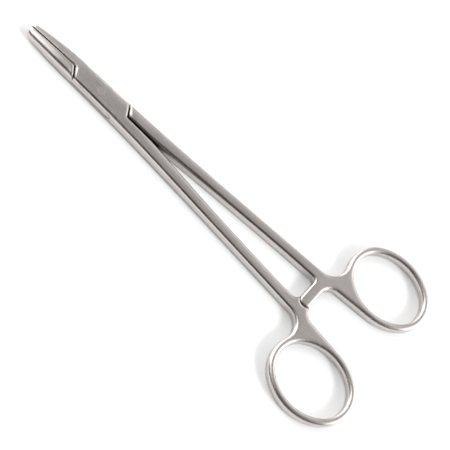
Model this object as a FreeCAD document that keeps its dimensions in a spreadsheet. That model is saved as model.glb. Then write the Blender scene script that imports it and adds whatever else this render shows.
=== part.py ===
import FreeCAD, Part
import math
import os
import Sketcher

# Surgical needle holder, lying flat and closed. It is two forged halves and the rivet they turn on.
# Each half is drawn about the pivot: jaws towards -X, rings towards +X, mid plane at Z = 0.
# The box half carries the slotted box, with its jaw on +Y and its ring on -Y.
# The through half passes through the slot, with its jaw on -Y and its ring on +Y.

doc = FreeCAD.newDocument("needle_holder")
sheet = doc.addObject("Spreadsheet::Sheet", "Sizes")

# Driving sizes in millimetres: alias, value, what it is.
SIZES = (
    ("jaw_reach", 35.2, "pivot to the tips of the jaws"),
    ("box_tip", 2.15, "parting line to the side of the box half's jaw, at its tip"),
    ("box_tip_round", 2.0, "corner radius of that tip, seen from above"),
    ("box_jaw_turn", 0.045, "how much more that jaw's side slopes at its root than the box does"),
    ("through_tip", 3.2, "parting line to the side of the through half's jaw, at its tip"),
    ("through_tip_round", 2.8, "corner radius of that tip, seen from above"),
    ("through_jaw_turn", 0.0, "how much more that jaw's side slopes at its root than the box does"),
    ("tip_thick", 2.7, "thickness of the jaws at the tip"),
    ("parting", 0.3, "gap between the closed jaws, and between the shanks beside the box"),
    ("jaw_round", 1.3, "radius along the edges of the jaws"),
    ("box_thick", 5.2, "thickness of the box"),
    ("box_half", 4.3, "half width of the box at the root of the jaws"),
    ("seam_inner", 13.7, "pivot to the inner end of each shoulder"),
    ("seam_outer", 10.6, "pivot to the outer end of each shoulder"),
    ("seam_gap", 0.45, "gap between a shoulder and the end of a cheek"),
    ("seam_bevel", 0.7, "bevel on the rear edge of each seam"),
    ("wall_outer", 9.0, "pivot to the outer end of each end wall of the slot"),
    ("wall_rise", 4.4, "how far an end wall of the slot rises from the axis"),
    ("waist_thick", 2.2, "thickness of the waist that passes through the box"),
    ("waist_inset", 0.05, "how far the sides of the waist are set in from the sides of the box"),
    ("waist_play", 0.08, "clearance above and below the waist"),
    ("wall_play", 0.12, "clearance between the waist and the end walls of the slot"),
    ("pin_diameter", 3.2, "diameter of the rivet"),
    ("pin_play", 0.03, "radial clearance of the rivet in the waist"),
    ("shank_thick", 4.3, "thickness of the shanks and rings"),
    ("taper_start", 16.0, "pivot to where the shanks start to thin"),
    ("taper_end", 62.0, "pivot to where the shanks stop thinning"),
    ("bend_reach", 40.0, "pivot to where the outer edge of a shank turns straight"),
    ("bend_half", 6.2, "distance of that place from the axis"),
    ("shank_slope", 0.0634, "slope of the straight outer edge from there to the ring"),
    ("crotch_reach", 26.0, "pivot to where the inner edges of the shanks part"),
    ("crotch_gap", 0.4, "gap between the shanks there"),
    ("crotch_slope", 0.0916, "slope of an inner edge just past the crotch"),
    ("crotch_round", 30.0, "radius of an inner edge at the crotch"),
    ("shank_inner", 5.65, "distance of the inner edge from the axis, short of the ratchet"),
    ("inner_straight", 3.4, "straight stretch of the inner edge, short of the ratchet bar"),
    ("edge_round", 1.05, "radius along the edges of the halves"),
    ("ring_reach", 127.4, "pivot to the middle of a ring"),
    ("ring_spread", 24.65, "axis to the middle of a ring"),
    ("ring_length", 35.6, "outside of a ring, along the axis"),
    ("ring_width", 30.0, "outside of a ring, across the axis"),
    ("ring_end", 13.5, "radius of the two ends of a ring's oval"),
    ("ring_wall", 2.7, "width of the section of a ring"),
    ("web_inner", 7.9, "distance of the web from the axis, beside the ratchet"),
    ("web_corner", 112.8, "pivot to the corner between shank and ring"),
    ("web_round", 7.0, "radius in that corner"),
    ("bar_near", 104.7, "pivot to the near side of the ratchet bar"),
    ("bar_far", 109.6, "pivot to the far side of the ratchet bar"),
    ("bar_reach", 5.6, "how far a ratchet bar reaches past the axis"),
    ("bar_round", 2.2, "corner radius at the end of a ratchet bar"),
    ("bar_spare", 3.0, "extra length that a bar has until its edges are rounded"),
    ("through_root", 1.7, "radius between the through half's shank and bar, near side"),
    ("box_root", 3.2, "radius between the box half's shank and bar, near side"),
    ("bar_root_far", 5.2, "radius between bar and web, far side"),
    ("bar_gap", 0.5, "gap round the end of a bar, in the other half's recess"),
    ("bar_side_play", 0.14, "gap beside a bar in that recess"),
    ("bar_play", 0.05, "half of the gap between the crests of the two racks"),
    ("tooth_pitch", 1.25, "pitch of the ratchet teeth"),
    ("tooth_depth", 0.5, "depth of the ratchet teeth"),
    ("tooth_count", 8, "number of teeth on a bar"),
    ("tooth_first", 5.0, "axis to the first tooth, at the end of the bar"),
    ("groove_pitch", 1.0, "pitch of the grooves across a gripping face"),
    ("groove_depth", 0.2, "depth of those grooves"),
    ("groove_count", 16, "number of grooves in each direction"),
    ("groove_first", 33.4, "pivot to the first groove"),
)
for row, (alias, value, meaning) in enumerate(SIZES, start=1):
    sheet.set("A%d" % row, meaning)
    sheet.set("B%d" % row, str(value))
    sheet.setAlias("B%d" % row, alias)
doc.recompute()


def size(alias):
    return float(sheet.get(alias))


def point(x, y):
    return FreeCAD.Vector(x, y, 0)


UP = FreeCAD.Vector(0, 0, 1)


# Sketches and features

def origin_part(body, role):
    return next(part for part in body.Origin.OriginFeatures if part.Role == role)


def sketch_on(body, name, role="XY_Plane", lift=None, swing=None):
    sketch = body.newObject("Sketcher::SketchObject", name)
    sketch.AttachmentSupport = [(origin_part(body, role), "")]
    sketch.MapMode = "FlatFace"
    if swing is not None:
        turn = FreeCAD.Rotation(FreeCAD.Vector(0, 1, 0), swing)
        sketch.AttachmentOffset = FreeCAD.Placement(FreeCAD.Vector(), turn)
    if lift is not None:
        sketch.setExpression("AttachmentOffset.Base.z", lift)
    return sketch


def draw(sketch, curves):
    """Adds curves whose places are worked out from the sheet, and fixes them."""
    for curve in curves:
        index = sketch.addGeometry(curve, False)
        sketch.addConstraint(Sketcher.Constraint("Block", index))


def draw_polygon(sketch, corners):
    """Adds a closed polygon whose corners are pairs of expressions."""
    places = [point(float(sketch.evalExpression(x)), float(sketch.evalExpression(y))) for x, y in corners]
    count = len(corners)
    for index in range(count):
        sketch.addGeometry(Part.LineSegment(places[index], places[(index + 1) % count]), False)
    for index in range(count):
        sketch.addConstraint(Sketcher.Constraint("Coincident", index, 2, (index + 1) % count, 1))
    for index, corner in enumerate(corners):
        for kind, expression, value in (
            ("DistanceX", corner[0], places[index].x),
            ("DistanceY", corner[1], places[index].y),
        ):
            number = sketch.addConstraint(Sketcher.Constraint(kind, -1, 1, index, 1, value))
            sketch.setExpression("Constraints[%d]" % number, expression)


def draw_circle(sketch, radius):
    circle = Part.Circle(point(0, 0), UP, float(sketch.evalExpression(radius)))
    index = sketch.addGeometry(circle, False)
    sketch.addConstraint(Sketcher.Constraint("Coincident", index, 3, -1, 1))
    number = sketch.addConstraint(Sketcher.Constraint("Radius", index, circle.Radius))
    sketch.setExpression("Constraints[%d]" % number, radius)


def pad(body, name, sketch, thickness):
    feature = body.newObject("PartDesign::Pad", name)
    feature.Profile = sketch
    feature.SideType = "Symmetric"
    feature.setExpression("Length", thickness)
    finish_feature(body, feature)
    return feature


def pocket(body, name, sketch, depth=None, both_ways=True, reverse=False):
    """Cuts the sketch out of the body, and fails where nothing was cut."""
    before = body.Shape.Volume
    feature = body.newObject("PartDesign::Pocket", name)
    feature.Profile = sketch
    feature.SideType = "Symmetric" if both_ways else "One side"
    feature.Reversed = reverse
    if depth is None:
        feature.Type = "ThroughAll"
    else:
        feature.setExpression("Length", depth)
    finish_feature(body, feature)
    if before - body.Shape.Volume < 1e-6:
        raise RuntimeError(name + " cuts nothing")
    return feature


def pattern(body, name, original, axis, count, pitch):
    feature = body.newObject("PartDesign::LinearPattern", name)
    feature.Originals = [original]
    feature.Direction = (origin_part(body, axis), [""])
    feature.Mode = "Spacing"
    feature.setExpression("Occurrences", count)
    feature.setExpression("Offset", pitch)
    finish_feature(body, feature)
    return feature


def dress(body, kind, name, edges, amount):
    """Rounds or bevels the numbered edges of the body's last shape."""
    base = body.Tip
    feature = body.newObject("PartDesign::" + kind, name)
    feature.Base = (base, ["Edge%d" % number for number in edges])
    feature.setExpression("Radius" if kind == "Fillet" else "Size", amount)
    finish_feature(body, feature)
    return feature


def finish_feature(body, feature):
    body.Tip = feature
    doc.recompute()
    if "Invalid" in feature.State or "Error" in feature.State or not feature.Shape.isValid():
        raise RuntimeError(feature.Name + " failed")


def face_tilt(face, place):
    """How far a face looks up or down at a place, from 0 for a wall to 1 for a top."""
    u, v = face.Surface.parameter(place)
    return abs(face.normalAt(u, v).z)


def rims(shape, inside, sharp):
    """The edges between a wall and the top or bottom, apart from those on the sharp lines."""
    found = []
    for number, edge in enumerate(shape.Edges, start=1):
        first, last = edge.ParameterRange
        middle = edge.valueAt((first + last) / 2)
        if not inside(middle):
            continue
        if any(on_line(middle, line) for line in sharp):
            continue
        faces = [face for face in shape.ancestorsOfType(edge, Part.Face)]
        tilts = sorted(face_tilt(face, middle) for face in faces)
        if len(tilts) == 2 and tilts[0] < 0.2 and tilts[1] > 0.9 and abs(middle.z) > size("tip_thick") / 2 - 0.01:
            found.append(number)
    return found


def edges_on(shape, line, height):
    """The edges that lie along a line of the plan, at a height above or below the mid plane."""
    found = []
    for number, edge in enumerate(shape.Edges, start=1):
        first, last = edge.ParameterRange
        middle = edge.valueAt((first + last) / 2)
        if on_line(middle, line) and abs(abs(middle.z) - height) < 0.05 and edge.Length > 0.5:
            found.append(number)
    return found


def on_line(place, line):
    start, end = line
    flat = point(place.x, place.y)
    along = end - start
    share = (flat - start).dot(along) / along.dot(along)
    if share < -0.01 or share > 1.01:
        return False
    return (flat - start - along * share).Length < 0.03


# Curves of the plan, for the side on +Y. The other side mirrors them.

def tangent_arc(start, end, to_centre):
    """Centre and radius of the arc between two places whose centre lies that way from the first."""
    chord = end - start
    radius = chord.dot(chord) / (2 * chord.dot(to_centre))
    return start + to_centre * radius, radius


# The wide bend of the outer edge, from the root of the jaw to the straight part of the shank.
BEND_CENTRE, BEND_RADIUS = tangent_arc(
    point(size("bend_reach"), size("bend_half")),
    point(-size("seam_inner"), size("box_half")),
    point(-size("shank_slope"), 1).normalize(),
)


def outer_y(x):
    return BEND_CENTRE.y - math.sqrt(BEND_RADIUS ** 2 - (x - BEND_CENTRE.x) ** 2)


def outer_slope(x):
    return (x - BEND_CENTRE.x) / (BEND_CENTRE.y - outer_y(x))


def outer_arc(x_from, x_to, inset=0.0):
    """The outer edge between two places, or the same bend set in from it."""
    return arc(*[
        (x, outer_y(x) - inset) for x in (x_from, (x_from + x_to) / 2, x_to)
    ])


def line(start, end):
    return Part.LineSegment(point(*start), point(*end))


def arc(start, middle, end):
    """The arc through three points, drawn counter-clockwise whichever end comes first."""
    start, middle, end = point(*start), point(*middle), point(*end)
    centre = Part.Circle(start, middle, end).Center
    if (middle - start).cross(end - middle).z < 0:
        start, end = end, start
    first = math.atan2(start.y - centre.y, start.x - centre.x)
    last = math.atan2(end.y - centre.y, end.x - centre.x)
    if last < first:
        last += 2 * math.pi
    return Part.ArcOfCircle(Part.Circle(centre, UP, (start - centre).Length), first, last)


def arc_about(centre, start, end):
    """The short arc from one place to another about a centre."""
    radius = (start - centre).Length
    middle = centre + ((start - centre) + (end - centre)).normalize() * radius
    return arc((start.x, start.y), (middle.x, middle.y), (end.x, end.y))


def corner(before, at, after, radius):
    """The arc that rounds a corner of a polygon, as its three points."""
    at, back, ahead = point(*at), point(*before), point(*after)
    to_back = (back - at).normalize()
    to_ahead = (ahead - at).normalize()
    half = math.acos(max(-1.0, min(1.0, to_back.dot(to_ahead)))) / 2
    reach = radius / math.tan(half)
    centre = at + (to_back + to_ahead).normalize() * (radius / math.sin(half))
    middle = centre + (at - centre).normalize() * radius
    start = at + to_back * reach
    end = at + to_ahead * reach
    return (start.x, start.y), (middle.x, middle.y), (end.x, end.y)


def jaw_curves(half):
    """Tip, side and root of a jaw, from the parting line round to the seam."""
    root = (-size("seam_inner"), size("box_half"))
    tip = (-size("jaw_reach"), size(half + "_tip"))
    inward = point(outer_slope(root[0]) + size(half + "_jaw_turn"), -1).normalize()
    centre, radius = tangent_arc(point(*root), point(*tip), inward)
    blend = size(half + "_tip_round")
    blend_x = -size("jaw_reach") + blend
    blend_y = centre.y + math.sqrt((radius - blend) ** 2 - (blend_x - centre.x) ** 2)
    away = (point(blend_x, blend_y) - centre).normalize()
    side_start = centre + away * radius
    halfway = (math.pi + math.atan2(away.y, away.x)) / 2
    blend_middle = (blend_x + blend * math.cos(halfway), blend_y + blend * math.sin(halfway))
    return [
        line((-size("jaw_reach"), size("parting") / 2), (-size("jaw_reach"), blend_y)),
        arc((-size("jaw_reach"), blend_y), blend_middle, (side_start.x, side_start.y)),
        arc_about(centre, side_start, point(*root)),
    ]


def ring_arcs(inset=0.0):
    """Centres, radii and joining angles of the four arcs that make the oval of a ring."""
    long_half = size("ring_length") / 2
    short_half = size("ring_width") / 2
    end = size("ring_end")
    side = ((long_half - end) ** 2 + short_half ** 2 - end ** 2) / (2 * (short_half - end))
    middle = point(size("ring_reach"), size("ring_spread"))
    across = point(long_half - end, 0)
    up = point(0, side - short_half)
    turn = math.atan2(up.y, across.x)
    return {
        "near": (middle + up, side - inset, -math.pi + turn, -turn),
        "far_end": (middle + across, end - inset, -turn, turn),
        "far": (middle - up, side - inset, turn, math.pi - turn),
        "near_end": (middle - across, end - inset, math.pi - turn, math.pi + turn),
    }


def ring_arc(name, inset=0.0, first=None, last=None):
    """One arc of the oval, cut short at an angle where one is given."""
    centre, radius, start, end = ring_arcs(inset)[name]
    circle = Part.Circle(centre, UP, radius)
    return Part.ArcOfCircle(circle, start if first is None else first, end if last is None else last)


def touch(name, start, way):
    """Where a line from outside touches an arc of the oval: its angle and the place."""
    centre, radius = ring_arcs()[name][:2]
    away = point(*start) - centre
    angle = math.atan2(away.y, away.x) + way * math.acos(radius / away.Length)
    return angle, (centre.x + radius * math.cos(angle), centre.y + radius * math.sin(angle))


def finger_hole():
    return [ring_arc(name, size("ring_wall")) for name in ring_arcs()]


def inner_edge():
    """The inner edge of a shank, from the box to the ratchet bar, and where it meets the bar."""
    start = (size("seam_inner"), size("parting") / 2)
    crotch = (size("crotch_reach"), size("crotch_gap") / 2)
    beyond = (crotch[0] + 1, crotch[1] + size("crotch_slope"))
    turn = corner(start, crotch, beyond, size("crotch_round"))
    opened = point(*turn[2])
    end = point(size("bar_near") - size("inner_straight"), size("shank_inner"))
    inward = point(size("crotch_slope"), -1).normalize()
    centre = tangent_arc(opened, end, inward)[0]
    fall = (end.x - centre.x) / (end.y - centre.y)
    root = (size("bar_near"), end.y - fall * size("inner_straight"))
    curves = [
        line(start, turn[0]),
        arc(*turn),
        arc_about(centre, opened, end),
    ]
    return curves, (end.x, end.y), root


def shank_curves(outer_end, root_radius):
    """Inner edge, ratchet bar, ring and outer edge of a shank, as one open run of curves."""
    near, far = size("bar_near"), size("bar_far")
    reach = size("bar_reach") + size("bar_spare")
    curves, place, root = inner_edge()
    near_end = (near, -reach)
    far_end = (far, -reach)
    web = (far, size("web_inner"))
    web_angle, web_end = touch("near", web, 1)
    bend = (size("bend_reach"), size("bend_half"))
    straight = size("web_corner") - size("bend_reach")
    outside = (size("web_corner"), size("bend_half") + size("shank_slope") * straight)
    outside_angle, outside_end = touch("near_end", outside, -1)
    rounds = (
        corner(place, root, near_end, root_radius),
        corner(root, near_end, far_end, size("bar_round")),
        corner(near_end, far_end, web, size("bar_round")),
        corner(far_end, web, web_end, size("bar_root_far")),
        corner(outside_end, outside, bend, size("web_round")),
    )
    for start, middle, end in rounds[:4]:
        curves.append(line(place, start))
        curves.append(arc(start, middle, end))
        place = end
    curves.append(line(place, web_end))
    curves.append(ring_arc("near", first=web_angle))
    curves.append(ring_arc("far_end"))
    curves.append(ring_arc("far"))
    curves.append(ring_arc("near_end", last=outside_angle + 2 * math.pi))
    start, middle, end = rounds[4]
    curves.append(line(outside_end, start))
    curves.append(arc(start, middle, end))
    curves.append(line(end, bend))
    curves.append(outer_arc(size("bend_reach"), outer_end))
    return curves


def flip(place):
    return point(place.x, -place.y)


def mirrored(curves):
    """The same curves on the other side of the axis."""
    flipped = []
    for curve in curves:
        first, last = curve.FirstParameter, curve.LastParameter
        if isinstance(curve, Part.LineSegment):
            flipped.append(Part.LineSegment(flip(curve.StartPoint), flip(curve.EndPoint)))
        else:
            ends = [flip(curve.value(share)) for share in (last, (first + last) / 2, first)]
            flipped.append(arc(*[(end.x, end.y) for end in ends]))
    return flipped


# Steps that both halves share. Side is 1 for a ring on +Y and -1 for a ring on -Y.

def shank_pad(body, left_curves, outer_end, root_radius, side):
    """Pads shank, ratchet bar and ring in one piece, with the finger hole through the ring."""
    sketch = sketch_on(body, body.Name + "_shank_plan")
    curves = left_curves + shank_curves(outer_end, root_radius) + finger_hole()
    draw(sketch, curves if side > 0 else mirrored(curves))
    pad(body, body.Name + "_shank", sketch, "Sizes.box_thick")


def thin_shank(body):
    """Thins the shank from the box to the ring, above and below, with two soft bends."""
    start, end = size("taper_start"), size("taper_end")
    thick, thin = size("box_thick") / 2, size("shank_thick") / 2
    middle = ((start + end) / 2, (thick + thin) / 2)
    radius = ((middle[0] - start) ** 2 + (thick - middle[1]) ** 2) / (2 * (thick - middle[1]))
    tail = size("ring_reach") + size("ring_length")
    quarter = (middle[0] - start) / 2
    sag = radius - math.sqrt(radius ** 2 - quarter ** 2)
    curves = [
        arc((start, thick), (start + quarter, thick - sag), middle),
        arc(middle, (end - quarter, thin + sag), (end, thin)),
        line((end, thin), (tail, thin)),
        line((tail, thin), (tail, 2 * thick)),
        line((tail, 2 * thick), (start, 2 * thick)),
        line((start, 2 * thick), (start, thick)),
    ]
    sketch = sketch_on(body, body.Name + "_shank_side", "XZ_Plane")
    draw(sketch, curves + mirrored(curves))
    pocket(body, body.Name + "_shank_taper", sketch)


def thin_jaw(body):
    """Thins the jaw towards its tip, above and below, on a curve that leaves the box smoothly."""
    root, tip = -size("seam_inner"), -size("jaw_reach") - 1
    thick, thin = size("box_thick") / 2, size("tip_thick") / 2
    radius = ((root - tip) ** 2 + (thick - thin) ** 2) / (2 * (thick - thin))
    middle_x = (root + tip) / 2
    middle_z = thick - radius + math.sqrt(radius ** 2 - (root - middle_x) ** 2)
    curves = [
        arc((root, thick), (middle_x, middle_z), (tip, thin)),
        line((tip, thin), (tip, 2 * thick)),
        line((tip, 2 * thick), (root, 2 * thick)),
        line((root, 2 * thick), (root, thick)),
    ]
    sketch = sketch_on(body, body.Name + "_jaw_side", "XZ_Plane")
    draw(sketch, curves + mirrored(curves))
    pocket(body, body.Name + "_jaw_taper", sketch)


def trim_bar(body, side):
    """Cuts the bar to length, with rounded corners and an end as sharp as it is machined."""
    sketch = sketch_on(body, body.Name + "_bar_end_plan")
    near, far, end = size("bar_near"), size("bar_far"), -size("bar_reach")
    radius = size("bar_round")
    margin = size("bar_root_far") / 2
    low = end - size("bar_spare") - margin
    left = corner((near, 0), (near, end), (far, end), radius)
    right = corner((near, end), (far, end), (far, 0), radius)
    curves = [
        line((near - margin, left[0][1]), left[0]),
        arc(*left),
        line(left[2], right[0]),
        arc(*right),
        line(right[2], (far + margin, right[2][1])),
        line((far + margin, right[2][1]), (far + margin, low)),
        line((far + margin, low), (near - margin, low)),
        line((near - margin, low), (near - margin, left[0][1])),
    ]
    draw(sketch, curves if side > 0 else mirrored(curves))
    pocket(body, body.Name + "_bar_end", sketch)


def half_bar(body, side):
    """Leaves half of the bar's thickness, and sinks a recess for the end of the other bar."""
    way = "" if side > 0 else "-"
    sketch = sketch_on(body, body.Name + "_recess_plan", lift=way + "Sizes.bar_play")
    play, gap = size("bar_side_play"), size("bar_gap")
    near, far = size("bar_near") - play, size("bar_far") + play
    top = size("bar_reach") + gap
    low = -size("bar_reach") - 2 * gap
    radius = size("bar_round") + play
    left = corner((near, low), (near, top), (far, top), radius)
    right = corner((near, top), (far, top), (far, low), radius)
    curves = [
        line((near, low), left[0]),
        arc(*left),
        line(left[2], right[0]),
        arc(*right),
        line(right[2], (far, low)),
        line((far, low), (near, low)),
    ]
    draw(sketch, curves if side > 0 else mirrored(curves))
    pocket(body, body.Name + "_recess", sketch, both_ways=False, reverse=side < 0)


def rack(body, side):
    """Cuts the saw teeth across the bar, from its end towards the shank."""
    sketch = sketch_on(body, body.Name + "_tooth_side", "YZ_Plane", lift="(Sizes.bar_near + Sizes.bar_far) / 2")
    sign = "" if side > 0 else "-"
    crest = "%s(Sizes.bar_play - Sizes.tooth_depth * 0.1)" % sign
    root = "%s(Sizes.bar_play + Sizes.tooth_depth)" % sign
    start = "%s(-Sizes.tooth_first)" % sign
    slope_end = "%s(-Sizes.tooth_first + Sizes.tooth_pitch * 0.92)" % sign
    corners = [(start, crest), (slope_end, crest), (start, root)]
    draw_polygon(sketch, corners if side > 0 else corners[::-1])
    width = "Sizes.bar_far - Sizes.bar_near + Sizes.bar_side_play"
    tooth = pocket(body, body.Name + "_tooth", sketch, width)
    teeth = pattern(body, body.Name + "_rack", tooth, "Y_Axis", "Sizes.tooth_count", "Sizes.tooth_pitch")
    if side < 0:
        teeth.Reversed = True
        finish_feature(body, teeth)


def grip(body, jaw_side):
    """Cross-hatches the gripping face with V grooves in two directions."""
    sign = "" if jaw_side > 0 else "-"
    for name, swing in (("rising", 45), ("falling", -45)):
        sketch = sketch_on(body, "%s_groove_%s" % (body.Name, name), "XY_Plane", swing=swing)
        sketch.setExpression("AttachmentOffset.Base.x", "-Sizes.groove_first")
        face = "%s(Sizes.parting / 2 - Sizes.groove_depth / 2)" % sign
        floor = "%s(Sizes.parting / 2 + Sizes.groove_depth)" % sign
        half_width = "Sizes.groove_depth * 1.5"
        corners = [("-" + half_width, face), (half_width, face), ("0", floor)]
        draw_polygon(sketch, corners)
        groove = pocket(body, "%s_cut_%s" % (body.Name, name), sketch, "2 * Sizes.box_thick")
        pattern(body, "%s_row_%s" % (body.Name, name), groove, "X_Axis", "Sizes.groove_count", "Sizes.groove_pitch")


def place(body):
    """Sets a half or the rivet down with the whole instrument centred on the origin."""
    body.setExpression(
        "Placement.Base.x",
        "(Sizes.jaw_reach - Sizes.ring_reach - Sizes.ring_length / 2) / 2",
    )
    body.setExpression("Placement.Base.z", "Sizes.box_thick / 2")


# Lines of the plan that stay sharp: the parting line, and the four ends of shoulders and cheeks.
HALF_PARTING = size("parting") / 2
CHEEK_INNER = size("seam_inner") - size("seam_gap")
CHEEK_OUTER = size("seam_outer") - size("seam_gap")
JAW_LINE = (point(-size("jaw_reach"), HALF_PARTING), point(-CHEEK_INNER, HALF_PARTING))
JAW_SHOULDER = (
    point(-size("seam_inner"), -HALF_PARTING),
    point(-size("seam_outer"), -outer_y(-size("seam_outer"))),
)
SHANK_SHOULDER = (
    point(size("seam_inner"), HALF_PARTING),
    point(size("seam_outer"), outer_y(size("seam_outer"))),
)
FRONT_CHEEK = (point(-CHEEK_INNER, 0), point(-CHEEK_OUTER, -outer_y(-CHEEK_OUTER)))
REAR_CHEEK = (point(CHEEK_INNER, -HALF_PARTING), point(CHEEK_OUTER, outer_y(CHEEK_OUTER)))


def waist_wall(body):
    """The waist of the through half: a flat bar that crosses the box between the slot's end walls."""
    play = size("wall_play")
    slant = (CHEEK_INNER - size("wall_outer")) / size("wall_rise")
    front_x = -CHEEK_INNER + play
    rear_x = CHEEK_INNER - play
    inset = size("waist_inset")
    front_end = front_x + slant * (outer_y(-size("wall_outer")) - inset)
    rear_end = rear_x - slant * (outer_y(size("wall_outer")) - inset)
    jaw_x = -size("seam_inner") - size("seam_gap")
    shank_x = size("seam_inner") + size("seam_gap")
    curves = [
        line((front_x - slant * HALF_PARTING, -HALF_PARTING), (jaw_x, -HALF_PARTING)),
        line((jaw_x, -HALF_PARTING), (jaw_x, inset - outer_y(jaw_x))),
    ]
    curves += mirrored([outer_arc(jaw_x, rear_end, inset)])
    curves += [
        line((rear_end, inset - outer_y(rear_end)), (rear_x + slant * HALF_PARTING, HALF_PARTING)),
        line((rear_x + slant * HALF_PARTING, HALF_PARTING), (shank_x, HALF_PARTING)),
        line((shank_x, HALF_PARTING), (shank_x, outer_y(shank_x) - inset)),
        outer_arc(shank_x, front_end, inset),
        line((front_end, outer_y(front_end) - inset), (front_x - slant * HALF_PARTING, -HALF_PARTING)),
    ]
    sketch = sketch_on(body, "waist_plan")
    draw(sketch, curves)
    pad(body, "waist", sketch, "Sizes.waist_thick")


def make_through_half():
    body = doc.addObject("PartDesign::Body", "through_half")
    body.Label = "through_half"
    shoulder_inner = (size("seam_inner"), HALF_PARTING)
    shoulder_outer = (size("seam_outer"), outer_y(size("seam_outer")))
    left = [line(shoulder_outer, shoulder_inner)]
    shank_pad(body, left, size("seam_outer"), size("through_root"), 1)
    thin_shank(body)
    shoulder = edges_on(body.Shape, SHANK_SHOULDER, size("box_thick") / 2)
    dress(body, "Chamfer", "shoulder_bevel", shoulder, "Sizes.seam_bevel")
    shank_rims = rims(body.Shape, lambda place: place.x > 0, [SHANK_SHOULDER])
    dress(body, "Fillet", "through_shank_rims", shank_rims, "Sizes.edge_round")
    trim_bar(body, 1)
    waist_wall(body)
    sketch = sketch_on(body, "through_jaw_plan")
    jaw = jaw_curves("through") + [outer_arc(-size("seam_inner"), -size("seam_outer"))]
    shoulder_start = (-size("seam_outer"), outer_y(-size("seam_outer")))
    jaw.append(line(shoulder_start, (-size("seam_inner"), HALF_PARTING)))
    jaw.append(line((-size("seam_inner"), HALF_PARTING), (-size("jaw_reach"), HALF_PARTING)))
    draw(sketch, mirrored(jaw))
    pad(body, "through_jaw", sketch, "Sizes.box_thick")
    thin_jaw(body)
    jaw_line = (JAW_LINE[0] - point(0, size("parting")), JAW_LINE[1] - point(0, size("parting")))
    jaw_rims = rims(body.Shape, lambda place: place.x < -size("seam_outer"), [JAW_SHOULDER, jaw_line])
    dress(body, "Fillet", "through_jaw_rims", jaw_rims, "Sizes.jaw_round")
    half_bar(body, 1)
    rack(body, 1)
    grip(body, -1)
    sketch = sketch_on(body, "bore_plan")
    draw_circle(sketch, "Sizes.pin_diameter / 2 + Sizes.pin_play")
    pocket(body, "bore", sketch)
    place(body)
    return body


def make_box_half():
    body = doc.addObject("PartDesign::Body", "box_half")
    body.Label = "box_half"
    lap = 2 * size("edge_round")
    left = [
        line((-CHEEK_OUTER, outer_y(-CHEEK_OUTER)), (-CHEEK_INNER, 0)),
        line((-CHEEK_INNER, 0), (-CHEEK_INNER, -lap)),
        line((-CHEEK_INNER, -lap), (size("seam_inner"), HALF_PARTING)),
    ]
    shank_pad(body, left, -CHEEK_OUTER, size("box_root"), -1)
    thin_shank(body)
    cheek = edges_on(body.Shape, FRONT_CHEEK, size("box_thick") / 2)
    dress(body, "Chamfer", "cheek_bevel", cheek, "Sizes.seam_bevel")
    back_line = (point(-CHEEK_INNER, 0), point(-CHEEK_INNER, lap))
    shank_rims = rims(body.Shape, lambda place: True, [FRONT_CHEEK, back_line])
    dress(body, "Fillet", "box_shank_rims", shank_rims, "Sizes.edge_round")
    trim_bar(body, -1)
    sketch = sketch_on(body, "box_jaw_plan")
    jaw = jaw_curves("box") + [outer_arc(-size("seam_inner"), CHEEK_OUTER)]
    outline = [
        (CHEEK_OUTER, outer_y(CHEEK_OUTER)),
        (CHEEK_INNER, -HALF_PARTING),
        (CHEEK_INNER, -lap),
        (-CHEEK_INNER, 0),
        (-CHEEK_INNER, HALF_PARTING),
        (-size("jaw_reach"), HALF_PARTING),
    ]
    jaw += [line(start, end) for start, end in zip(outline, outline[1:])]
    draw(sketch, jaw)
    pad(body, "box_jaw", sketch, "Sizes.box_thick")
    thin_jaw(body)
    jaw_rims = rims(body.Shape, lambda place: place.y > 0.5 and place.x < CHEEK_INNER, [JAW_LINE, REAR_CHEEK])
    dress(body, "Fillet", "box_jaw_rims", jaw_rims, "Sizes.jaw_round")
    sketch = sketch_on(body, "slot_plan")
    reach = "(Sizes.seam_inner - Sizes.seam_gap)"
    run = "1.5 * (%s - Sizes.wall_outer)" % reach
    rise = "1.5 * Sizes.wall_rise"
    draw_polygon(sketch, [
        ("-" + reach, "0"),
        ("-%s + %s" % (reach, run), rise),
        (reach, rise),
        (reach, "0"),
        ("%s - %s" % (reach, run), "-(%s)" % rise),
        ("-" + reach, "-(%s)" % rise),
    ])
    pocket(body, "slot", sketch, "Sizes.waist_thick + 2 * Sizes.waist_play")
    half_bar(body, -1)
    rack(body, -1)
    grip(body, 1)
    sketch = sketch_on(body, "rivet_hole_plan")
    draw_circle(sketch, "Sizes.pin_diameter / 2")
    pocket(body, "rivet_hole", sketch)
    place(body)
    return body


def make_pivot_pin():
    """The rivet, ground flush with both cheeks of the box."""
    pin = doc.addObject("Part::Cylinder", "pivot_pin")
    pin.Label = "pivot_pin"
    pin.setExpression("Radius", "Sizes.pin_diameter / 2")
    pin.setExpression("Height", "Sizes.box_thick")
    pin.setExpression(
        "Placement.Base.x",
        "(Sizes.jaw_reach - Sizes.ring_reach - Sizes.ring_length / 2) / 2",
    )
    return pin


pieces = [make_box_half(), make_through_half(), make_pivot_pin()]
doc.recompute()

for item in doc.Objects:
    if "Invalid" in item.State or "Error" in item.State:
        raise RuntimeError(item.Name + " did not recompute")
for piece in pieces:
    if piece.Shape.isNull() or not piece.Shape.isValid():
        raise RuntimeError(piece.Label + " has no valid shape")

os.makedirs("parts", exist_ok=True)
for piece in pieces:
    piece.Shape.exportStep("parts/%s.step" % piece.Label)
    print(piece.Label, "%.1f mm3" % piece.Shape.Volume, len(piece.Shape.Solids), "solid", piece.Shape.BoundBox)
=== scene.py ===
import math

import bpy
from mathutils import Matrix, Vector

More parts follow.
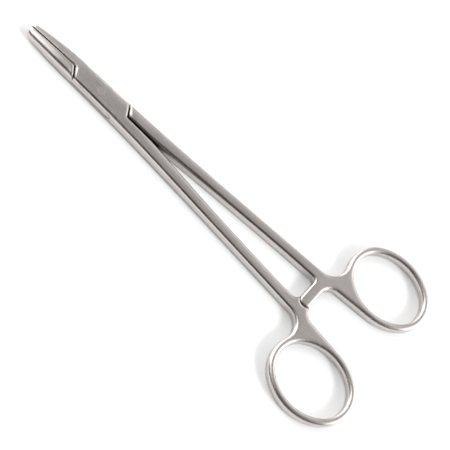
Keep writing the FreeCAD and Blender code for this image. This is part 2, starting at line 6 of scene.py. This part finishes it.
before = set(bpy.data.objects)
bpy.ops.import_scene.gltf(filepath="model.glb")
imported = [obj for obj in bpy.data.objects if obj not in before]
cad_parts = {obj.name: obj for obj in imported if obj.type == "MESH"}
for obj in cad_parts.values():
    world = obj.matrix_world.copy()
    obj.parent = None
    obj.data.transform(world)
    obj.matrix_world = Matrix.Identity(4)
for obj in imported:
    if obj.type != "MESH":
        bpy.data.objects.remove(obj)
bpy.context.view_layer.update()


# The two forged halves. Each is one drop forging of martensitic stainless steel, milled at the
# box and the ratchet, then belt ground along its length and bead blasted to a satin finish.
# The finish keeps a faint grain along the shanks and a slightly uneven sheen.
STEEL_COLOUR = (0.50, 0.465, 0.446, 1)
STEEL_DULL = (0.455, 0.423, 0.405, 1)
STEEL_ROUGHNESS = 0.27
PATCH_SIZE = 0.009        # size of the patches that handling has dulled
PATCH_NOISE = (0.25, 0.6)         # noise at which a patch is fully dull, and fully clear
LINE_LENGTH = 0.006       # how far a grinding line runs before it fades
LINE_WIDTH = 0.00018      # distance between grinding lines
LINE_NOISE = (0.3, 0.7)   # noise in a line and beside it
LINE_SHEEN = (-0.02, 0.03)        # what the lines take from the roughness and add to it
LINE_RELIEF = 0.06
GRAIN_SIZE = 0.00012      # size of the dimples that bead blasting leaves
GRAIN_RELIEF = 0.15
RELIEF_DEPTH = 0.00002    # depth of lines and dimples at full relief
EDGE_SAMPLES = 8          # rays for each soft rim and each crevice
NODE_STEP = 180           # distance between nodes in the editor

# Places along X, in metres.
JAWS_END = -0.0690
BOX_START = -0.0650
BOX_END = -0.0470
FORK = -0.0290            # where the shanks part
BARS = 0.0450

# The belt has crowned the flats across their width, most on the jaws and shanks.
# Each row is a place along X and a value there.
CROWN_RADIUS = 0.012
FLAT_MIDDLE = ((BOX_END, 0.0), (FORK, 0.0028), (BARS, 0.0082))      # its distance from the axis
FLAT_HALF = ((JAWS_END, 0.0), (BOX_START, 0.0011), (BOX_END, 0.0011), (FORK, 0.0))
CROWNED_PART = ((0.037, 1.0), (0.049, 0.0))

# The blasting has softened the rims. The bevels of the two seams on the box are softer,
# and the rings are rounded all the way round their section.
RIM = 0.0006
SEAM_ROUND = 0.0015
RING_ROUND = 0.0021
RIM_ALONG = (
    (-0.0747, RIM), (-0.0735, SEAM_ROUND), (-0.0665, SEAM_ROUND), (-0.0653, RIM),
    (-0.0482, RIM), (-0.0470, SEAM_ROUND), (-0.0385, SEAM_ROUND), (-0.0373, RIM),
    (BARS, RIM), (0.057, RING_ROUND),
)
RIVET_MIDDLE = (-0.055, 0.0, 0.0026)
RIVET_CLEAR = 0.003       # so close to the rivet's middle nothing is softened

# Painted shade: the colour is darker in crevices, and most of all in the narrow fork just
# behind the box while the shanks are closed.
# Openness is 0 in a closed corner and 1 in the open; facing is a part of the face's normal.
CREVICE = 0.0018          # how wide an opening has to be before light reaches its bottom
CREVICE_LIGHT = ((0.1, 0.02), (0.5, 1.0))             # by openness
FORK_ALONG = ((-0.043, 0.0), (-0.041, 1.0), (FORK, 1.0), (-0.021, 0.0))
FORK_ACROSS = ((0.0, 1.0), (0.0011, 1.0), (0.0018, 0.0))  # by the distance from the axis
FORK_WALL = ((-0.35, 1.0), (0.0, 0.0))                # by the facing along Y
FORK_CLOSED = ((0.6, 1.0), (0.92, 0.0))               # by openness
FORK_DARKNESS = 0.9
UNDERSIDE = ((-0.9, 1.0), (-0.4, 0.0))                # by the facing along Z


def node(tree, kind, **inputs):
    """A new node with the given values in its inputs, set beside the earlier ones."""
    made = tree.nodes.new(kind)
    made.location = (NODE_STEP * len(tree.nodes), 0)
    for name, value in inputs.items():
        made.inputs[name.replace("_", " ")].default_value = value
    return made


def grey(value):
    return (value, value, value, 1)


def ramp(tree, source, span, colours):
    """A colour that goes from one to the other over a span of the source."""
    made = node(tree, "ShaderNodeValToRGB")
    for element, at, colour in zip(made.color_ramp.elements, span, colours):
        element.position = at
        element.color = colour
    tree.links.new(source, made.inputs["Fac"])
    return made.outputs["Color"]


def curve(tree, source, stops, shape="EASE"):
    """A value that goes through the given stops of the source, each a place and a value."""
    start = stops[0][0]
    end = stops[-1][0]
    share = node(tree, "ShaderNodeMapRange", From_Min=start, From_Max=end)
    tree.links.new(source, share.inputs["Value"])
    made = node(tree, "ShaderNodeValToRGB")
    made.color_ramp.interpolation = shape
    elements = made.color_ramp.elements
    while len(elements) < len(stops):
        elements.new(0.5)
    for element, (at, value) in zip(elements, stops):
        element.position = (at - start) / (end - start)
        element.color = grey(value)
    tree.links.new(share.outputs["Result"], made.inputs["Fac"])
    return made.outputs["Color"]


def combine(tree, operation, first, second=0.0):
    """The result of a sum on one or two sources, each a socket or a number."""
    made = node(tree, "ShaderNodeMath")
    made.operation = operation
    for socket, source in zip(made.inputs, (first, second)):
        if isinstance(source, float):
            socket.default_value = source
        else:
            tree.links.new(source, socket)
    return made.outputs["Value"]


def parts(tree, vector):
    """The X, Y and Z of a place or a direction."""
    split = node(tree, "ShaderNodeSeparateXYZ")
    tree.links.new(vector, split.inputs["Vector"])
    return split.outputs


def bump(tree, height, below, relief, depth):
    """The normal below, with a height laid over it."""
    made = node(tree, "ShaderNodeBump", Strength=relief, Distance=depth)
    tree.links.new(height, made.inputs["Height"])
    tree.links.new(below, made.inputs["Normal"])
    return made.outputs["Normal"]


def crown(tree, spot):
    """How far the belt has taken the flats down beside their middle, in metres."""
    middle = curve(tree, spot["X"], FLAT_MIDDLE, "LINEAR")
    flat = curve(tree, spot["X"], FLAT_HALF)
    kept = curve(tree, spot["X"], CROWNED_PART)
    side = combine(tree, "ABSOLUTE", spot["Y"])
    off = combine(tree, "ABSOLUTE", combine(tree, "SUBTRACT", side, middle))
    off = combine(tree, "MAXIMUM", combine(tree, "SUBTRACT", off, flat), 0.0)
    taken = combine(tree, "MULTIPLY", off, off)
    taken = combine(tree, "MULTIPLY", taken, -0.5 / CROWN_RADIUS)
    return combine(tree, "MULTIPLY", taken, kept)


def soft_rim(tree, place, spot):
    """The normal, softened at the rims but not beside the rivet."""
    from_rivet = node(tree, "ShaderNodeVectorMath")
    from_rivet.operation = "DISTANCE"
    from_rivet.inputs[1].default_value = RIVET_MIDDLE
    tree.links.new(place, from_rivet.inputs[0])
    clear = node(
        tree, "ShaderNodeMapRange", From_Min=RIVET_CLEAR, From_Max=RIVET_CLEAR + RIM,
    )
    tree.links.new(from_rivet.outputs["Value"], clear.inputs["Value"])
    radius = combine(
        tree, "MULTIPLY", clear.outputs["Result"], curve(tree, spot["X"], RIM_ALONG),
    )
    rim = node(tree, "ShaderNodeBevel")
    rim.samples = EDGE_SAMPLES
    tree.links.new(radius, rim.inputs["Radius"])
    return rim.outputs["Normal"]


def painted_shade_share(tree, spot, facing):
    """Painted shade: the share of its colour a spot keeps in crevices and in the fork of the
    shanks.
    """
    hollow = node(tree, "ShaderNodeAmbientOcclusion", Distance=CREVICE)
    hollow.samples = EDGE_SAMPLES
    openness = hollow.outputs["AO"]
    along = curve(tree, spot["X"], FORK_ALONG)
    inner = curve(tree, combine(tree, "ABSOLUTE", spot["Y"]), FORK_ACROSS)
    wall = curve(tree, facing["Y"], FORK_WALL)
    closed = curve(tree, openness, FORK_CLOSED)
    raw = combine(tree, "MULTIPLY", combine(tree, "MULTIPLY", along, inner), wall)
    raw = combine(tree, "MULTIPLY", combine(tree, "MULTIPLY", raw, closed), FORK_DARKNESS)
    crevice = curve(tree, openness, CREVICE_LIGHT)
    left = combine(tree, "MULTIPLY", crevice, combine(tree, "SUBTRACT", 1.0, raw))
    return combine(tree, "MAXIMUM", left, curve(tree, facing["Z"], UNDERSIDE))


def satin_steel(name, colour, roughness):
    """Satin stainless steel: blasted grain, faint grinding lines along X, and duller patches,
    with painted shade in its crevices.
    """
    material = bpy.data.materials.new(name)
    material.use_nodes = True
    tree = material.node_tree
    link = tree.links.new
    shader = tree.nodes["Principled BSDF"]
    shader.inputs["Metallic"].default_value = 1.0
    coordinates = node(tree, "ShaderNodeTexCoord")
    place = coordinates.outputs["Object"]
    spot = parts(tree, place)
    facing = parts(tree, coordinates.outputs["Normal"])

    stretch = node(
        tree, "ShaderNodeMapping", Scale=(1 / LINE_LENGTH, 1 / LINE_WIDTH, 1 / LINE_WIDTH),
    )
    link(place, stretch.inputs["Vector"])
    lines = node(tree, "ShaderNodeTexNoise", Scale=1.0, Detail=4.0, Roughness=0.6)
    link(stretch.outputs["Vector"], lines.inputs["Vector"])
    grain = node(tree, "ShaderNodeTexNoise", Scale=1 / GRAIN_SIZE, Detail=2.0)
    link(place, grain.inputs["Vector"])
    patches = node(tree, "ShaderNodeTexNoise", Scale=1 / PATCH_SIZE, Detail=3.0)
    link(place, patches.inputs["Vector"])

    # The colour is multiplied by the painted shade of the crevices and the fork.
    colour_with_painted_shade = node(tree, "ShaderNodeMix")
    colour_with_painted_shade.data_type = "RGBA"
    colour_with_painted_shade.blend_type = "MULTIPLY"
    colour_with_painted_shade.inputs["Factor"].default_value = 1.0
    link(ramp(tree, patches.outputs["Fac"], PATCH_NOISE, (STEEL_DULL, colour)),
         colour_with_painted_shade.inputs["A"])
    link(painted_shade_share(tree, spot, facing), colour_with_painted_shade.inputs["B"])
    link(colour_with_painted_shade.outputs["Result"], shader.inputs["Base Color"])

    sheens = [grey(roughness + change) for change in LINE_SHEEN]
    link(ramp(tree, lines.outputs["Fac"], LINE_NOISE, sheens), shader.inputs["Roughness"])

    normal = soft_rim(tree, place, spot)
    normal = bump(tree, crown(tree, spot), normal, 1.0, 1.0)
    normal = bump(tree, lines.outputs["Fac"], normal, LINE_RELIEF, RELIEF_DEPTH)
    normal = bump(tree, grain.outputs["Fac"], normal, GRAIN_RELIEF, RELIEF_DEPTH)
    link(normal, shader.inputs["Normal"])
    return material


def wear(piece, material):
    piece.data.materials.clear()
    piece.data.materials.append(material)


halves_steel = satin_steel("satin_steel", STEEL_COLOUR, STEEL_ROUGHNESS)
for half in ("box_half", "through_half"):
    wear(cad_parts[half], halves_steel)


# The rivet that the halves turn on, of the same stainless steel. It is peened into both cheeks
# and ground flush with them, so it looks a shade duller and only a faint ring of it shows.
RIVET_COLOUR = (0.49, 0.456, 0.436, 1)
RIVET_ROUGHNESS = 0.3

wear(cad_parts["pivot_pin"], satin_steel("rivet_steel", RIVET_COLOUR, RIVET_ROUGHNESS))


# The table top that the instrument lies on: a plain white sheet, wider than the view.
# The camera and the steel see it with a glow of its own, which brings it up to white and
# leaves the lamp's shadows. Close round the instrument the glow fades, a painted contact
# shadow, and in the steel it glows stronger, painted light in its reflection. From below it
# can be looked through.
FLOOR_HALF = 2.0
FLOOR_WHITE = 0.62
FLOOR_GLOW = 0.28
GLOW_IN_STEEL = 2.3       # how much stronger the glow is in the steel
FLOOR_GAP = 0.00003       # so that no face of the instrument lies in the same plane
SHADE_IN_STEEL = 0.005    # how far round the instrument the glow fades, in the steel
CLOSE_SHADE = 0.0008      # and to the camera

bpy.ops.object.select_all(action="DESELECT")
bpy.ops.mesh.primitive_plane_add(size=2 * FLOOR_HALF, location=(0, 0, -FLOOR_GAP))
floor = bpy.context.active_object
floor.name = "floor"
white_sheet = bpy.data.materials.new("white_sheet")
white_sheet.use_nodes = True
tree = white_sheet.node_tree
link = tree.links.new
tree.nodes.clear()
path = node(tree, "ShaderNodeLightPath").outputs
in_steel = path["Is Glossy Ray"]

# Painted contact shadow: the glow fades where the instrument is near, over a wider reach in the
# steel.
close_painted_shadow = node(tree, "ShaderNodeAmbientOcclusion", Distance=CLOSE_SHADE).outputs["AO"]
painted_shadow_in_steel = node(tree, "ShaderNodeAmbientOcclusion", Distance=SHADE_IN_STEEL).outputs["AO"]
level = node(tree, "ShaderNodeMix")
link(in_steel, level.inputs["Factor"])
link(close_painted_shadow, level.inputs["A"])
link(combine(tree, "MULTIPLY", painted_shadow_in_steel, GLOW_IN_STEEL), level.inputs["B"])
glow = node(tree, "ShaderNodeEmission", Strength=FLOOR_GLOW)
link(level.outputs["Result"], glow.inputs["Color"])

sheet = node(tree, "ShaderNodeBsdfDiffuse", Color=grey(FLOOR_WHITE)).outputs["BSDF"]
glowing = node(tree, "ShaderNodeAddShader")
link(sheet, glowing.inputs[0])
link(glow.outputs["Emission"], glowing.inputs[1])
top = node(tree, "ShaderNodeMixShader")
link(combine(tree, "MAXIMUM", path["Is Camera Ray"], in_steel), top.inputs["Fac"])
link(sheet, top.inputs[1])
link(glowing.outputs["Shader"], top.inputs[2])

from_below = node(tree, "ShaderNodeNewGeometry").outputs["Backfacing"]
looked_through = node(tree, "ShaderNodeMixShader")
link(combine(tree, "MAXIMUM", from_below, path["Transparent Depth"]),
     looked_through.inputs["Fac"])
link(top.outputs["Shader"], looked_through.inputs[1])
link(node(tree, "ShaderNodeBsdfTransparent").outputs["BSDF"], looked_through.inputs[2])
surface = node(tree, "ShaderNodeOutputMaterial")
link(looked_through.outputs["Shader"], surface.inputs["Surface"])
wear(floor, white_sheet)


# The light: a white tent behind the instrument and at both its ends, and a dark room on the
# camera's side, so near edges go dark, far edges and the ends of the bevels go white, and the
# flat tops take an even grey from the dimmer roof of the tent.
ROOM_DARK = 0.07          # on the camera's side
ROOF = 0.30               # straight above
TENT_BACK = 1.15          # behind the instrument, on +Y
TENT_ENDS = 3.6           # beyond the tips and beyond the rings
JAW_LIGHT = 3.2           # a lamp in the roof, a little beyond the tips

# Each row is a direction's part along X or Y, from -1 to 1, and the light from there.
FRONT_TO_BACK = (
    (-1.0, ROOM_DARK), (-0.45, ROOM_DARK), (0.0, ROOF), (0.3, 0.36), (0.47, 0.46),
    (0.56, 0.63), (0.7, 0.9), (0.9, TENT_BACK), (1.0, TENT_BACK),
)
ROOF_FOLDS = (
    (-0.22, 0.68), (-0.15, 0.72), (-0.08, 1.3), (-0.02, 1.3), (0.03, 1.05), (0.1, 1.6),
    (0.14, 1.6),
)
ENDS_ALONG = ((-0.85, 1.0), (-0.35, 0.0), (0.35, 0.0), (0.85, 1.0))
ENDS_ACROSS = ((-0.35, 0.0), (0.15, 1.0))
LAMP_ALONG = ((-0.75, 0.0), (-0.5, 1.0), (-0.4, 0.9), (-0.3, 0.45), (-0.22, 0.0))
LAMP_ACROSS = (
    (-0.9, 0.05), (-0.3, 0.25), (0.0, 1.0), (0.15, 1.0), (0.45, 0.28), (0.6, 0.12), (0.75, 0.0),
)

world = bpy.data.worlds.new("tent")
bpy.context.scene.world = world
world.use_nodes = True
tree = world.node_tree
background = tree.nodes["Background"]
background.inputs["Strength"].default_value = 1.0
direction = parts(tree, node(tree, "ShaderNodeTexCoord").outputs["Generated"])


def crossed(along, across):
    """Light that depends on the direction's parts along X and along Y."""
    return combine(
        tree, "MULTIPLY",
        curve(tree, direction["X"], along), curve(tree, direction["Y"], across),
    )


tent = crossed(ROOF_FOLDS, FRONT_TO_BACK)
ends = combine(tree, "MULTIPLY", crossed(ENDS_ALONG, ENDS_ACROSS), TENT_ENDS)
lamp = combine(tree, "MULTIPLY", crossed(LAMP_ALONG, LAMP_ACROSS), JAW_LIGHT)
total = combine(tree, "ADD", combine(tree, "ADD", tent, ends), lamp)
white_to_camera = node(tree, "ShaderNodeLightPath").outputs["Is Camera Ray"]
tree.links.new(combine(tree, "MAXIMUM", total, white_to_camera), background.inputs["Color"])


# A wide lamp beyond the rings, for the pale shadows that rings and bars throw towards the tips.
# It isn't seen in the steel.
LOW_LAMP_FROM = Vector((0.8, -0.05, 0.6))
LOW_LAMP_STRENGTH = 2.1
LOW_LAMP_WIDTH = math.radians(14)

low_light = bpy.data.lights.new("low_lamp", "SUN")
low_light.energy = LOW_LAMP_STRENGTH
low_light.angle = LOW_LAMP_WIDTH
low_lamp = bpy.data.objects.new("low_lamp", low_light)
bpy.context.scene.collection.objects.link(low_lamp)
low_lamp.rotation_euler = LOW_LAMP_FROM.to_track_quat("Z", "Y").to_euler()
low_lamp.visible_glossy = False


# The camera, above the near side of the instrument and turned about its own axis,
# so that the instrument runs from the top left of the picture to the bottom right.
CAMERA_AZIMUTH = math.radians(1.02)
CAMERA_ELEVATION = math.radians(62.0)
CAMERA_ROLL = math.radians(42.99)
CAMERA_DISTANCE = 0.428
CAMERA_TARGET = Vector((0.0117, -0.00464, 0.0052))
PICTURE_WIDTH = 450       # in pixels
FOCAL_LENGTH = 1178.0     # in pixels
SENSOR_WIDTH = 36.0       # in millimetres
NEAREST_SEEN = 0.01

right = Vector((math.cos(CAMERA_AZIMUTH), math.sin(CAMERA_AZIMUTH), 0))
back = Vector((
    math.sin(CAMERA_AZIMUTH) * math.cos(CAMERA_ELEVATION),
    -math.cos(CAMERA_AZIMUTH) * math.cos(CAMERA_ELEVATION),
    math.sin(CAMERA_ELEVATION),
))
up = back.cross(right)
turned_right = right * math.cos(CAMERA_ROLL) + up * math.sin(CAMERA_ROLL)
turned_up = up * math.cos(CAMERA_ROLL) - right * math.sin(CAMERA_ROLL)

lens = bpy.data.cameras.new("camera")
lens.sensor_fit = "HORIZONTAL"
lens.sensor_width = SENSOR_WIDTH
lens.lens = FOCAL_LENGTH / PICTURE_WIDTH * SENSOR_WIDTH
lens.clip_start = NEAREST_SEEN
camera = bpy.data.objects.new("camera", lens)
bpy.context.scene.collection.objects.link(camera)
eye = CAMERA_TARGET + back * CAMERA_DISTANCE
camera.matrix_world = Matrix((
    (turned_right.x, turned_up.x, back.x, eye.x),
    (turned_right.y, turned_up.y, back.y, eye.y),
    (turned_right.z, turned_up.z, back.z, eye.z),
    (0, 0, 0, 1),
))
bpy.context.scene.camera = camera
bpy.context.scene.view_settings.view_transform = "Standard"
